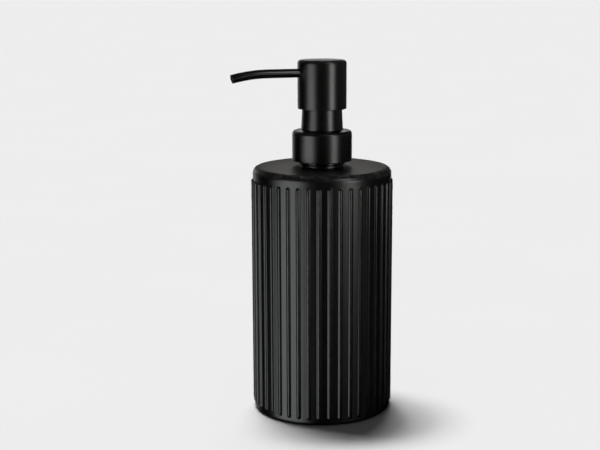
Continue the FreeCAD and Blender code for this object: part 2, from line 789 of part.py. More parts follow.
def make_head_shell():
    """Drawn metal head: a straight cup, closed at the top by a low dome."""
    body = new_body("head_shell")
    revolve(body, "cup", [
        ("head_inner", "head_z"),
        ("head_radius", "head_z"),
        ("head_radius", "head_top_z"),
        ("0", "head_top_z + head_dome", "(head_radius ^ 2 + head_dome ^ 2) / (2 * head_dome)"),
        ("0", "head_ceiling_z"),
        ("head_inner", "head_ceiling_z"),
    ])
    round_rims(body, "top_fillet", "head_round", [("head_radius", "head_top_z")])
    round_rims(body, "inner_fillet", "head_inner_round", [("head_inner", "head_ceiling_z")])
    round_rims(body, "foot_fillet", "head_foot_round", [("head_radius", "head_z")])
    circle = [("0", "spout_z", "spout_radius + spout_hole_gap")]
    sketch = draw_circles(new_sketch(body, "spout_circle", "YZ_Plane"), circle)
    hole = cut(body, "Pocket", "spout_hole", Profile=sketch)
    tie(hole, "Length", "2 * head_radius")
    return body


def make_head_core():
    """Moulded core of the head: stem socket, flow channel and spout socket."""
    body = new_body("head_core")
    skirt = "head_inner - core_skirt_wall"
    revolve(body, "block", [
        ("stem_radius", "core_z"),
        ("core_boss_radius", "core_z"),
        ("core_boss_radius", "core_pocket_z"),
        (skirt, "core_pocket_z"),
        (skirt, "core_z"),
        ("head_inner", "core_z"),
        ("head_inner", "head_ceiling_z"),
        ("0", "head_ceiling_z"),
        ("0", "spout_z + spout_bore + channel_headroom"),
        ("stem_bore_radius", "spout_z + spout_bore + channel_headroom"),
        ("stem_bore_radius", "stem_top_z"),
        ("stem_radius", "stem_top_z"),
    ])
    round_rims(body, "top_fillet", "head_inner_round", [("head_inner", "head_ceiling_z")])
    channel = draw_circles(new_sketch(body, "channel_circle", "YZ_Plane"), [("0", "spout_z", "spout_bore")])
    flow = cut(body, "Pocket", "channel", Profile=channel)
    tie(flow, "Length", "head_radius")
    doc.recompute()
    socket = new_sketch(body, "socket_circle", "YZ_Plane", "-spout_root")
    draw_circles(socket, [("0", "spout_z", "spout_radius")])
    bore = cut(body, "Pocket", "spout_socket", Profile=socket)
    tie(bore, "Length", "head_radius")
    doc.recompute()
    near = "-(ring_place - ring_groove / 2)"
    far = "-(ring_place + ring_groove / 2)"
    groove_bottom = "spout_z + ring_groove_radius"
    section = draw(new_sketch(body, "groove_section"), [
        (far, "spout_z"),
        (near, "spout_z"),
        (near, groove_bottom),
        (far, groove_bottom),
    ])
    centre_line(section, (far, "spout_z"), (near, "spout_z"))
    cut(body, "Groove", "ring_groove", Profile=section, ReferenceAxis=(section, ["Axis0"]), Angle=360)
    return body


def make_spout():
    """Metal tube: a straight run out of the head, then one long bend down to the tip."""
    body = new_body("spout")
    path = new_sketch(body, "path")
    root = Vector(-value("spout_root"), value("spout_z"), 0)
    turn = Vector(-value("spout_turn"), value("spout_z"), 0)
    tip = ("-(spout_turn + spout_bend_radius * sin(spout_bend_angle))",
           "spout_z - spout_bend_radius * (1 - cos(spout_bend_angle))")
    end = Vector(value(tip[0]), value(tip[1]), 0)
    path.addGeometry(Part.LineSegment(root, turn), False)
    path.addGeometry(arc_between(turn, end, value("spout_bend_radius")), False)
    pin_point(path, 0, 1, "-spout_root", "spout_z")
    pin_point(path, 0, 2, "-spout_turn", "spout_z")
    path.addConstraint(Sketcher.Constraint("Coincident", 0, 2, 1, 1))
    pin_point(path, 1, 2, *tip)
    number = path.addConstraint(Sketcher.Constraint("Radius", 1, value("spout_bend_radius")))
    tie(path, "Constraints[%d]" % number, "spout_bend_radius")
    section = new_sketch(body, "section", "YZ_Plane", "-spout_root")
    draw_circles(section, [("0", "spout_z", "spout_radius"), ("0", "spout_z", "spout_bore")])
    doc.recompute()
    feature(body, "AdditivePipe", "tube", Profile=section, Spine=(path, ["Edge1", "Edge2"]))
    return body


def make_spout_o_ring():
    """O-ring that seals the spout in its socket."""
    ring = doc.addObject("Part::Torus", "spout_o_ring")
    ring.Label = "spout_o_ring"
    ring.Placement = FreeCAD.Placement(Vector(), FreeCAD.Rotation(Vector(0, 1, 0), 90))
    tie(ring, "Radius1", "spout_radius + ring_wire")
    tie(ring, "Radius2", "ring_wire")
    tie(ring, "Placement.Base.x", "-ring_place")
    tie(ring, "Placement.Base.z", "spout_z")
    return ring


def check_and_write(pieces):
    """Refuse a failed feature, an idle cut or a broken solid, then write the STEP files."""
    doc.recompute()
    for item in doc.Objects:
        if "Invalid" in item.State or "Error" in item.State:
            raise RuntimeError("%s is %s" % (item.Label, item.State))
    for item, before in CHECKED_CUTS:
        if item.Shape.Volume > before.Shape.Volume - 1e-3:
            raise RuntimeError("%s removes nothing" % item.Label)
    os.makedirs("parts", exist_ok=True)
    for piece in pieces:
        shape = piece.Shape
        if shape.isNull() or not shape.isValid() or len(shape.Solids) != 1:
            raise RuntimeError("%s has a bad shape" % piece.Label)
        shape.exportStep(os.path.join("parts", piece.Label + ".step"))
        print("%-15s volume %10.1f  z %7.2f to %7.2f" % (
            piece.Label, shape.Volume, shape.BoundBox.ZMin, shape.BoundBox.ZMax))


MAKERS = [
    make_bottle, make_base_pad, make_neck_insert,
    make_pump_housing, make_housing_cap, make_stem_seal, make_neck_sleeve, make_neck_gasket,
    make_dip_tube, make_ball_retainer, make_check_ball,
    make_collar_shell, make_collar_insert,
    make_return_spring, make_stem, make_stem_plug, make_piston,
    make_head_shell, make_head_core, make_spout, make_spout_o_ring,
]

check_and_write([maker() for maker in MAKERS])
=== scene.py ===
import json
import math

import bpy
import numpy as np
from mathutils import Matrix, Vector


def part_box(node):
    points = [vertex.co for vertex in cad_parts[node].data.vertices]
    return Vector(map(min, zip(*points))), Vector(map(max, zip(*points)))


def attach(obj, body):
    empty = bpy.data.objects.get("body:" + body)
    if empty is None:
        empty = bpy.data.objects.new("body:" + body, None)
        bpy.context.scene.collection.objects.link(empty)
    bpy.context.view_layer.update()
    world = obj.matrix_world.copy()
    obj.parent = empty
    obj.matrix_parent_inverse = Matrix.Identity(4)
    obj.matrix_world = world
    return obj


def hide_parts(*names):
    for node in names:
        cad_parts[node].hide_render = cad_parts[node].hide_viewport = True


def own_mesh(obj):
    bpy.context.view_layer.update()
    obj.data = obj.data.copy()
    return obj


# Soap pump dispenser: a ribbed round bottle with a screw-on push pump.
# Shapes are written in millimetres and put into the meshes in metres.

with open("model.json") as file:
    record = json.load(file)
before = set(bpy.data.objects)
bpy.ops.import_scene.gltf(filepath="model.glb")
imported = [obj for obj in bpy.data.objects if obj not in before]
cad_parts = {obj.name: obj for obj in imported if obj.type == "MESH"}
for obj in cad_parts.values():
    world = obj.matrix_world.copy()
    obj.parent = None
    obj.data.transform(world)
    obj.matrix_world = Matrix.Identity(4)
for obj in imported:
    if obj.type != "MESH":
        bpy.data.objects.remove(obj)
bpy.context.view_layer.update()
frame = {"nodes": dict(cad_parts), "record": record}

MM = 0.001
FULL_TURN = 2 * math.pi
ARC_STEP = math.radians(9)
SMALL_ROUND = 1.5
FLAT_MARGIN = 0.18


def span(node):
    """Lowest and highest corner of a CAD node, in millimetres."""
    low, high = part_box(node)
    return np.array(low) / MM, np.array(high) / MM


# ---------------------------------------------------------------- outlines and surfaces

def rounded(corners, closed=False):
    """Outline through (radius, height, rounding) corners, as rows of (radius, height, share of
    wear and painted highlight).

    A corner is cut back by rounding / tan(half its angle) and bridged by an arc about the
    point on its bisector at rounding / sin(half its angle). An arc is cut into steps of
    ARC_STEP, or twice that up to SMALL_ROUND, and into three at least. The third value goes as
    sin(pi share) along each arc, is 0 on the flats, and says where an edge is worn and painted
    lighter as a highlight.
    """
    corners = np.array(corners, float)
    points = corners[:, :2]
    total = len(points)
    rows = []
    for index, (here, rounding) in enumerate(zip(points, corners[:, 2])):
        if rounding == 0:
            rows.append(np.array([[*here, 0.0]]))
            continue
        back = points[index - 1] - here
        onward = points[(index + 1) % total] - here
        back /= np.linalg.norm(back)
        onward /= np.linalg.norm(onward)
        half = math.acos(np.clip(back @ onward, -1, 1)) / 2
        bisector = (back + onward) / np.linalg.norm(back + onward)
        centre = here + bisector * rounding / math.sin(half)
        first = here + back * rounding / math.tan(half) - centre
        last = here + onward * rounding / math.tan(half) - centre
        turn = math.atan2(first[0] * last[1] - first[1] * last[0], first @ last)
        step = ARC_STEP if rounding > SMALL_ROUND else 2 * ARC_STEP
        share = np.linspace(0, 1, max(3, math.ceil(abs(turn) / step)) + 1)[:, None]
        side = np.array([-first[1], first[0]])
        arc = centre + np.cos(turn * share) * first + np.sin(turn * share) * side
        rows.append(np.hstack([arc, np.sin(math.pi * share)]))
    return brace(np.vstack(rows), closed)


def brace(outline, closed):
    """Add a point near each end of every long side, so that shading stays flat along it.

    The new points lie at a + (b - a) m / L and b - (b - a) m / L on a side from a to b of
    length L, where m is FLAT_MARGIN and L is over 8 m.
    """
    following = np.roll(outline, -1, 0) if closed else np.vstack([outline[1:], outline[-1:]])
    side = following - outline
    length = np.linalg.norm(side[:, :2], axis=1)
    long = length > 8 * FLAT_MARGIN
    near = np.where(long, FLAT_MARGIN / np.maximum(length, 1e-9), np.nan)[:, None]
    rows = np.stack([outline, outline + side * near, following - side * near], 1)
    rows = rows.reshape(-1, 3)
    return rows[~np.isnan(rows[:, 0])]


def turned(outline, angles):
    """Surface of revolution: each (radius, height) at each angle is (r cos a, r sin a, z)."""
    radius = outline[:, 0, None]
    height = np.broadcast_to(outline[:, 1, None], (len(outline), np.shape(angles)[-1]))
    angles = np.broadcast_to(angles, height.shape)
    return np.stack([radius * np.cos(angles), radius * np.sin(angles), height], -1)


def ring(columns):
    """Evenly spaced angles once round."""
    return FULL_TURN * np.arange(columns) / columns


def numbers(grid):
    """The number of each point in a grid of points."""
    rows, columns = grid.shape[:2]
    return np.arange(rows * columns).reshape(rows, columns)


def quads(near, far):
    """Faces between two loops, or two stacks of loops, of point numbers."""
    corners = [near, np.roll(near, -1, -1), np.roll(far, -1, -1), far]
    return np.stack(corners, -1).reshape(-1, 4)


def fan(loop, tip, outward):
    """Triangles from a loop to one tip. outward says that the loop comes before the tip."""
    after = np.roll(loop, -1)
    pair = (loop, after) if outward else (after, loop)
    return np.stack([*pair, np.full(len(loop), tip)], -1)


def surface(name, points, faces, wear_and_highlight, crease=38):
    """A smooth mesh piece from points in millimetres, a list of face arrays and each point's share
    of edge wear and painted highlight.

    Edges sharper than crease, in degrees, stay sharp.
    """
    mesh = bpy.data.meshes.new(name)
    corners = [row for block in faces for row in block.tolist()]
    mesh.from_pydata((points * MM).tolist(), [], corners)
    mesh.polygons.foreach_set("use_smooth", np.ones(len(mesh.polygons), bool))
    mesh.set_sharp_from_angle(angle=math.radians(crease))
    layer = mesh.attributes.new("wear_and_highlight", "FLOAT", "POINT")
    layer.data.foreach_set("value", wear_and_highlight.astype(np.float32))
    mesh.update()
    piece = bpy.data.objects.new(name, mesh)
    bpy.context.scene.collection.objects.link(piece)
    return piece


def lathe_parts(grid, wear_and_highlight, closed):
    """Points, faces and shares of wear and painted highlight of a grid of rings. Rings of no
    radius become single poles.
    """
    rows, columns = grid.shape[:2]
    flat = np.abs(grid[..., :2]).max(axis=(1, 2)) < 1e-6
    keep = np.flatnonzero(~flat)
    points = grid[keep].reshape(-1, 3)
    wear_and_highlight_values = np.repeat(wear_and_highlight[keep], columns)
    number = numbers(grid[keep])
    faces = [quads(number[:-1], number[1:])]
    if closed:
        faces.append(quads(number[-1], number[0]))
    for row, loop, outward in ((0, number[0], False), (rows - 1, number[-1], True)):
        if flat[row]:
            faces.append(fan(loop, len(points), outward))
            points = np.vstack([points, grid[row, 0]])
            wear_and_highlight_values = np.append(wear_and_highlight_values, 0)
    return points, faces, wear_and_highlight_values


def lathe(name, outline, columns):
    """A turned ring. Its closed outline runs so that the material lies on its left."""
    grid = turned(outline, ring(columns))
    points, faces, wear_and_highlight_values = lathe_parts(grid, outline[:, 2], True)
    return surface(name, points, faces, wear_and_highlight_values)


# ---------------------------------------------------------------- bottle

RIBS = 42
RIB_WIDTH = 2.8
RIB_HEIGHT = 0.8
RIB_FOOT_GAP = 2.6
RIB_TOP_GAP = 6.0
RIB_FOOT_RADIUS = 0.6
# Columns of points on each side of a rib's middle, in shares of its half width. They draw in
# to TIP_SHARE of their place at a rib's tip and are back in place SPREAD_LENGTH past it.
RIB_COLUMNS = np.array([0.17, 0.33, 0.47, 0.59, 0.7, 0.81, 0.92, 1.02, 1.16])
TIP_SHARE = 0.12
SPREAD_LENGTH = 1.3
# Strength of the painted highlight along the rib crests: paler colour and lower roughness.
CREST_PAINTED_HIGHLIGHT = 0.8
BOTTLE_BASE_ROUND = 1.2
SHOULDER_ROUND = 3.3
LIP_HEIGHT = 1.35


def rib_height(away):
    """How far a rib stands out, at a distance from the line or point in its middle.

    The crest is an arc of radius b and the foot a hollow arc of radius f, with b + f =
    (w^2 + h^2) / (2 h) for a half width w and a height h. The crest gives h - b +
    sqrt(b^2 - s^2) up to s = w b / (b + f), and the foot f - sqrt(f^2 - (w - s)^2) up to w.
    """
    half = RIB_WIDTH / 2
    both = (half ** 2 + RIB_HEIGHT ** 2) / (2 * RIB_HEIGHT)
    crest, foot = both - RIB_FOOT_RADIUS, RIB_FOOT_RADIUS
    meet = half * crest / both
    top = RIB_HEIGHT - crest + np.sqrt(crest ** 2 - np.minimum(away, meet) ** 2)
    low = foot - np.sqrt(foot ** 2 - np.clip(half - away, 0, half - meet) ** 2)
    return np.where(away < meet, top, low)


def ribbed_wall(levels, plain, low, high):
    """Radius and angle of the outer wall at each height.

    A rib runs between the centres of its ball ends at low and high, so the distance from its
    middle is sqrt(t^2 + d^2), for a length t round the wall and a height d past the nearer
    centre. Columns follow the foot's outline, sqrt(w^2 - d^2), so its rounded ends stay clean,
    and past the tip they spread by u^2 (3 - 2 u), with u from 0 to 1 over SPREAD_LENGTH.
    """
    half = RIB_WIDTH / 2
    past = np.maximum(low - levels, 0) + np.maximum(levels - high, 0)
    beyond = np.clip((past - half) / SPREAD_LENGTH, 0, 1)
    spread = half * (TIP_SHARE + (1 - TIP_SHARE) * beyond ** 2 * (3 - 2 * beyond))
    foot = np.maximum(np.sqrt(np.maximum(half ** 2 - past ** 2, 0)), TIP_SHARE * half)
    reach = np.where(past < half, foot, spread)[:, None]
    across = np.concatenate([-RIB_COLUMNS[::-1], [0], RIB_COLUMNS])
    pitch = FULL_TURN * plain / RIBS
    edge = reach * RIB_COLUMNS[-1]
    between = edge + (pitch - 2 * edge) * np.array([1 / 3, 2 / 3])
    one = np.hstack([reach * across, between])
    round_wall = one[:, None, :] + pitch * np.arange(RIBS)[None, :, None]
    round_wall = round_wall.reshape(len(levels), -1)
    from_middle = np.tile(np.minimum(np.abs(one), np.abs(pitch - one)), RIBS)
    away = np.hypot(from_middle, past[:, None])
    return plain + rib_height(away), round_wall / plain


def make_bottle():
    """The bottle: a turned bottom, the ribbed wall, and a turned top, mouth and inside.

    Every row of points has the same columns, so the rows join into one closed surface.
    """
    low, high = span("bottle_body")
    pad_high = span("base_pad")[1]
    side_wall, floor_wall, top_wall, pad_gap = 3.0, 4.1, 3.4, 0.1
    mouth, lip = 9.9, 11.1
    plain = high[0] - RIB_HEIGHT
    foot_z = low[2]
    shoulder_z = high[2] - LIP_HEIGHT
    recess = pad_high[0] + pad_gap
    inner = plain - side_wall
    floor_z = foot_z + floor_wall
    ceiling_z = shoulder_z - top_wall
    wall_start = foot_z + BOTTLE_BASE_ROUND + 0.4
    wall_end = shoulder_z - SHOULDER_ROUND - 0.3
    bottom = rounded([
        (0, pad_high[2], 0), (recess, pad_high[2], 0), (recess, foot_z, 0),
        (plain, foot_z, BOTTLE_BASE_ROUND), (plain, wall_start, 0),
    ])
    top = rounded([
        (plain, wall_end, 0), (plain, shoulder_z, SHOULDER_ROUND), (lip, shoulder_z, 0.35),
        (lip, high[2], 0.25), (mouth, high[2], 0.15), (mouth, ceiling_z, 0.3),
        (inner, ceiling_z, 1.4), (inner, floor_z, 1.4), (0, floor_z, 0),
    ])
    ball_low = foot_z + RIB_FOOT_GAP + RIB_WIDTH / 2
    ball_high = shoulder_z - RIB_TOP_GAP - RIB_WIDTH / 2
    around_end = RIB_WIDTH / 2 * np.sin(np.radians(np.linspace(0, 90, 10)))
    past_end = RIB_WIDTH / 2 + np.array([0.07, 0.16, 0.35, 0.7, SPREAD_LENGTH])
    past = np.concatenate([around_end, past_end])
    between = np.linspace(ball_low, ball_high, 6)[1:-1]
    levels = np.concatenate([ball_low - past[::-1], between, ball_high + past])
    radius, angles = ribbed_wall(levels, plain, ball_low, ball_high)
    height = np.broadcast_to(levels[:, None], radius.shape)
    wall = np.stack([radius * np.cos(angles), radius * np.sin(angles), height], -1)
    even = angles[:1]
    grid = np.concatenate([turned(bottom, even), wall, turned(top, even)])
    wear_and_highlight = np.concatenate([bottom[:, 2], np.zeros(len(levels)), top[:, 2]])
    points, faces, wear_and_highlight_values = lathe_parts(grid, wear_and_highlight, False)
    # Rib crests get a painted highlight: paler and glossier the higher the rib stands.
    crest = np.hypot(points[:, 0], points[:, 1]) - plain
    wear_and_highlight_values = np.maximum(wear_and_highlight_values, np.clip(crest / RIB_HEIGHT, 0, 1) ** 5 * CREST_PAINTED_HIGHLIGHT)
    piece = surface("ribbed_bottle", points, faces, wear_and_highlight_values)
    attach(piece, "bottle")
    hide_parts("bottle_body")
    return piece


# ---------------------------------------------------------------- pump's metal skins

def make_collar():
    """The collar's skin: a skirt, a large top edge, and a cone that falls away outwards."""
    low, high = span("collar_shell")
    outer, foot_z, top_z = high[0], low[2], high[2]
    wall, slope, hole = 0.5, math.tan(math.radians(12)), 11.0
    corner_z = top_z - (outer - hole) * slope
    under_z = top_z - wall * math.hypot(1, slope)
    outline = rounded([
        (outer - wall, foot_z, 0.12), (outer, foot_z, 0.2), (outer, corner_z, 1.8),
        (hole, top_z, 0.16), (hole, under_z, 0.1),
        (outer - wall, under_z - (outer - wall - hole) * slope, 1.3),
    ], closed=True)
    piece = lathe("collar_skin", outline, columns=160)
    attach(piece, "collar")
    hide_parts("collar_shell")
    return piece


def make_sleeve():
    """The sleeve's skin: it narrows by the taper to its top, where a lip closes on the stem."""
    low, high = span("neck_sleeve")
    foot, foot_z, top_z = high[0], low[2], high[2]
    wall, taper, lip, bore = 0.5, 0.6, 0.6, 5.0
    top, lip_z = foot - taper, top_z - lip
    outline = rounded([
        (foot - wall, foot_z, 0.1), (foot, foot_z, 0.12), (top, top_z, 0.3),
        (bore, top_z, 0.1), (bore, lip_z, 0.1), (top - wall, lip_z, 0.15),
    ], closed=True)
    piece = lathe("tapered_sleeve", outline, columns=144)
    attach(piece, "pump_unit")
    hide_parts("neck_sleeve")
    return piece


SPOUT_Z = 178.3
SPOUT_RADIUS = 2.25
HOLE_RADIUS = SPOUT_RADIUS + 0.05
# The rings of points round the hole, in shares of the way from the block's border to its edge.
HOLE_RINGS = np.array([0.3, 0.6, 0.85, 0.96, 1.0])
HEAD_COLUMNS = 144
HOLE_BLOCK = 14
HOLE_REACH = 3.7


def side_hole(grid, outer_rows, inner_rows, walls):
    """Points and faces that open a round hole through both walls of a turned cup.

    A block of cells is left out of each wall, facing -X. From its border, rings draw in to
    the circle y^2 + (z - SPOUT_Z)^2 = HOLE_RADIUS^2, cross the wall and spread out again.
    """
    columns = grid.shape[1]
    left, right = (columns - HOLE_BLOCK) // 2, (columns + HOLE_BLOCK) // 2

    def border(rows):
        low, high = rows
        step = 1 if high > low else -1
        up = np.arange(low, high, step)
        across = np.arange(left, right)
        loop_rows = np.concatenate([np.full(len(across), low), up, np.full(len(across), high),
                                    up[::-1] + step])
        loop_columns = np.concatenate([across, np.full(len(up), right), across[::-1] + 1,
                                       np.full(len(up), left)])
        return loop_rows * columns + loop_columns

    loops = [border(outer_rows), border(inner_rows)]
    flat = grid.reshape(-1, 3)
    rings = []
    for loop, wall in zip(loops, walls):
        edge = flat[loop]
        turn = np.arctan2(-edge[:, 1], -edge[:, 0])
        tilt = np.arctan2(edge[:, 2] - SPOUT_Z, turn * wall)
        circle_turn = np.arcsin(HOLE_RADIUS * np.cos(tilt) / wall)
        circle_z = SPOUT_Z + HOLE_RADIUS * np.sin(tilt)
        share = HOLE_RINGS[:, None]
        turns = turn + (circle_turn - turn) * share
        heights = edge[:, 2] + (circle_z - edge[:, 2]) * share
        rings.append(np.stack([-wall * np.cos(turns), -wall * np.sin(turns), heights], -1))
    inward = np.concatenate([rings[0], rings[1][::-1]])
    number = len(flat) + numbers(inward)
    stack = np.vstack([loops[0], number, loops[1]])
    return inward.reshape(-1, 3), quads(stack[:-1], stack[1:])


def make_head():
    """The head: a cup with a slightly domed crown and a round hole for the spout.

    The crown is part of a ball of radius (r^2 + d^2) / (2 d), for an outer radius r and a
    dome of height d, so its height at a radius s is top - ball + sqrt(ball^2 - s^2).
    """
    low, high = span("head_shell")
    outer, foot_z, crown_z = high[0], low[2], high[2]
    wall, crown, dome = 0.6, 0.7, 0.4
    inner = outer - wall
    edge_z, ceiling_z = crown_z - dome, crown_z - dome - crown
    levels = SPOUT_Z + np.linspace(-HOLE_REACH, HOLE_REACH, HOLE_BLOCK + 1)
    ball = (outer ** 2 + dome ** 2) / (2 * dome)
    dome_radii = np.array([9.6, 7.8, 6.0, 4.2, 2.4, 1.0, 0.0])
    dome_z = crown_z - ball + np.sqrt(ball ** 2 - dome_radii ** 2)
    outline = rounded([
        (0, ceiling_z, 0), (inner, ceiling_z, 1.1),
        *[(inner, z, 0) for z in levels[::-1]],
        (inner, foot_z, 0.1), (outer, foot_z, 0.25),
        *[(outer, z, 0) for z in levels],
        (outer, edge_z, 1.7),
        *[(r, z, 0) for r, z in zip(dome_radii, dome_z)],
    ])
    outline = outline[1:-1]
    grid = turned(outline, ring(HEAD_COLUMNS))

    def row_at(radius, height):
        return int(np.argmin(np.hypot(outline[:, 0] - radius, outline[:, 1] - height)))

    outer_rows = row_at(outer, levels[0]), row_at(outer, levels[-1])
    inner_rows = row_at(inner, levels[0]), row_at(inner, levels[-1])
    hole_points, tube = side_hole(grid, outer_rows, inner_rows, (outer, inner))
    number = numbers(grid)
    cells = np.ones((len(grid) - 1, HEAD_COLUMNS), bool)
    left, right = (HEAD_COLUMNS - HOLE_BLOCK) // 2, (HEAD_COLUMNS + HOLE_BLOCK) // 2
    for rows in (outer_rows, inner_rows):
        cells[min(rows):max(rows), left:right] = False
    faces = quads(number[:-1], number[1:]).reshape(*cells.shape, 4)[cells]
    points = np.vstack([grid.reshape(-1, 3), hole_points, [0, 0, ceiling_z], [0, 0, crown_z]])
    ceiling_tip, crown_tip = len(points) - 2, len(points) - 1
    fans = [fan(number[0], ceiling_tip, False), fan(number[-1], crown_tip, True)]
    wear_and_highlight_values = np.zeros(len(points))
    wear_and_highlight_values[:number.size] = np.repeat(outline[:, 2], HEAD_COLUMNS)
    piece = surface("push_head", points, [faces, tube, *fans], wear_and_highlight_values)
    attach(piece, "head")
    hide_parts("head_shell")
    return piece


def make_spout():
    """A tube carried along a straight run and one bend.

    At a length s past the bend's start, the path is at an angle t = s / bend from level, and
    its centre is at (-turn - bend sin t, 0, SPOUT_Z - bend (1 - cos t)). The tube's outline is
    (length, radius): out along the outside, over the rounded tip and back along the bore.
    """
    root, turn, bend, angle = 5.0, 29.0, 79.0, math.radians(14)
    bore, tip, columns = 1.75, 0.4, 48
    length = turn - root + bend * angle
    stops = np.linspace(turn - root, length - tip, 16)
    outline = rounded([
        (0, SPOUT_RADIUS, 0.1), *[(s, SPOUT_RADIUS, 0) for s in stops],
        (length, SPOUT_RADIUS, 0.14), (length, bore, 0.12),
        *[(s, bore, 0) for s in stops[::-1]], (0, bore, 0.1),
    ], closed=True)
    along, radius = outline[:, 0, None], outline[:, 1, None]
    bent = np.maximum(along - (turn - root), 0)
    tilt = bent / bend
    straight = np.minimum(along, turn - root)
    centre_x = -root - straight - bend * np.sin(tilt)
    centre_z = SPOUT_Z - bend * (1 - np.cos(tilt))
    around = ring(columns)[None, :]
    rise = radius * np.cos(around)
    x = centre_x - rise * np.sin(tilt)
    z = centre_z + rise * np.cos(tilt)
    y = np.broadcast_to(radius * np.sin(around), x.shape)
    grid = np.stack([x, y, z], -1)
    number = numbers(grid)
    stack = np.vstack([number, number[:1]])
    wear_and_highlight_values = np.repeat(outline[:, 2], columns)
    piece = surface("spout_tube", grid.reshape(-1, 3), [quads(stack[:-1], stack[1:])], wear_and_highlight_values)
    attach(piece, "head")
    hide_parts("spout")
    return piece


def make_spring():
    """Wire carried along a helix (m cos t, m sin t, z(t)), with a closed turn at each end.

    z climbs by a wire and a gap in each end turn and by an even pitch between them, and is
    smoothed by a raised cosine over the same number of points on each side. Each ring of the
    wire lies across the path, between the outward and the sideways direction.
    """
    low, high = span("return_spring")
    wire, gap, coils, steps, reach = 0.8, 0.05, 9, 36, 6
    mean, end_pitch = high[0] - wire / 2, wire + gap
    start, end = low[2] + wire / 2, high[2] - wire / 2
    turns = np.linspace(0, coils, coils * steps + 1)
    climb = np.interp(turns, [0, 1, coils - 1, coils],
                      [start, start + end_pitch, end - end_pitch, end])
    before = 2 * climb[0] - climb[reach:0:-1]
    after = 2 * climb[-1] - climb[-2:-2 - reach:-1]
    kernel = np.hanning(2 * reach + 3)[1:-1]
    climb = np.convolve(np.concatenate([before, climb, after]), kernel / kernel.sum(), "valid")
    angle = turns * FULL_TURN
    slope = np.gradient(climb, angle)
    outward = np.stack([np.cos(angle), np.sin(angle), np.zeros_like(angle)], -1)
    tangent = np.stack([-mean * np.sin(angle), mean * np.cos(angle), slope], -1)
    tangent /= np.linalg.norm(tangent, axis=1, keepdims=True)
    sideways = np.cross(tangent, outward)
    path = outward * mean + np.stack([np.zeros_like(angle), np.zeros_like(angle), climb], -1)
    around = ring(14)[None, :, None]
    thick = np.full(len(turns), wire / 2)
    thick[[0, -1]] *= 0.8
    rings = path[:, None] + thick[:, None, None] * (np.cos(around) * outward[:, None]
                                                  + np.sin(around) * sideways[:, None])
    number = numbers(rings)
    points = np.vstack([rings.reshape(-1, 3), path[0], path[-1]])
    faces = [quads(number[:-1], number[1:]),
             fan(number[0], number.size, False), fan(number[-1], number.size + 1, True)]
    piece = surface("return_coil", points, faces, np.zeros(len(points)), crease=60)
    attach(piece, "spring")
    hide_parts("return_spring")
    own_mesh(piece)
    return piece


# ---------------------------------------------------------------- shader tools

def feed(tree, socket, source):
    """Link a socket to another, or set it to a plain value."""
    if isinstance(source, bpy.types.NodeSocket):
        tree.links.new(source, socket)
    else:
        socket.default_value = source


def node(tree, kind, feeds=None, **settings):
    """A new shader node with its settings, and with its inputs fed by label or number."""
    made = tree.nodes.new("ShaderNode" + kind)
    for field, content in settings.items():
        setattr(made, field, content)
    for key, source in (feeds or {}).items():
        feed(tree, made.inputs[key], source)
    return made


def calculate(tree, operation, first, second, clamp=False):
    feeds = {0: first, 1: second}
    return node(tree, "Math", feeds, operation=operation, use_clamp=clamp).outputs[0]


def remap(tree, source, low, high, to_low=0.0, to_high=1.0):
    """A smooth step from to_low, where the source is low, to to_high, where it is high."""
    feeds = {"Value": source, "From Min": low, "From Max": high,
             "To Min": to_low, "To Max": to_high}
    return node(tree, "MapRange", feeds, interpolation_type="SMOOTHSTEP").outputs[0]


def noise(tree, place, scale, detail=2.0, roughness=0.5, distortion=0.0):
    feeds = {"Vector": place, "Scale": scale, "Detail": detail, "Roughness": roughness,
             "Distortion": distortion}
    return node(tree, "TexNoise", feeds).outputs[0]


def blend_colour(tree, share, first, second):
    """From the first colour to the second, by share. In a colour mix these are inputs 6, 7."""
    made = node(tree, "Mix", {0: share, 6: first, 7: second}, data_type="RGBA")
    return made.outputs[2]


def stretched(tree, place, scale):
    return node(tree, "Mapping", {"Vector": place, "Scale": scale}).outputs[0]


def new_group(name, inputs, outputs):
    """A node group. Inputs are (label, "Float" or "Vector") pairs, outputs labels of floats."""
    tree = bpy.data.node_groups.new(name, "ShaderNodeTree")
    for label, kind in inputs:
        tree.interface.new_socket(label, in_out="INPUT", socket_type="NodeSocket" + kind)
    for label in outputs:
        tree.interface.new_socket(label, in_out="OUTPUT", socket_type="NodeSocketFloat")
    entry = tree.nodes.new("NodeGroupInput")
    leave = tree.nodes.new("NodeGroupOutput")
    return tree, entry.outputs, leave.inputs


def use(tree, group, **feeds):
    """Place a group in a material, feed its inputs by label, and give its outputs."""
    made = tree.nodes.new("ShaderNodeGroup")
    made.node_tree = group
    for label, source in feeds.items():
        feed(tree, made.inputs[label], source)
    return made.outputs


def coat_grain_group():
    """Sprayed coat: fine orange peel and scattered flecks."""
    tree, given, out = new_group("coat_grain", [("Place", "Vector"), ("Fineness", "Float")],
                                 ["Height", "Fleck"])
    peel = noise(tree, given["Place"], given["Fineness"], 3.0, 0.55)
    wide = calculate(tree, "MULTIPLY", given["Fineness"], 0.3)
    drift = noise(tree, given["Place"], wide, 1.0)
    beads = node(tree, "TexVoronoi", {"Vector": given["Place"], "Scale": given["Fineness"]},
                 feature="SMOOTH_F1").outputs["Distance"]
    height = calculate(tree, "ADD", calculate(tree, "MULTIPLY", peel, 0.6),
                       calculate(tree, "MULTIPLY", drift, 0.5))
    beads = calculate(tree, "MULTIPLY", beads, 0.35)
    feed(tree, out["Height"], calculate(tree, "SUBTRACT", height, beads))
    finer = calculate(tree, "MULTIPLY", given["Fineness"], 2.2)
    feed(tree, out["Fleck"], remap(tree, noise(tree, given["Place"], finer, 1.0), 0.58, 0.78))
    return tree


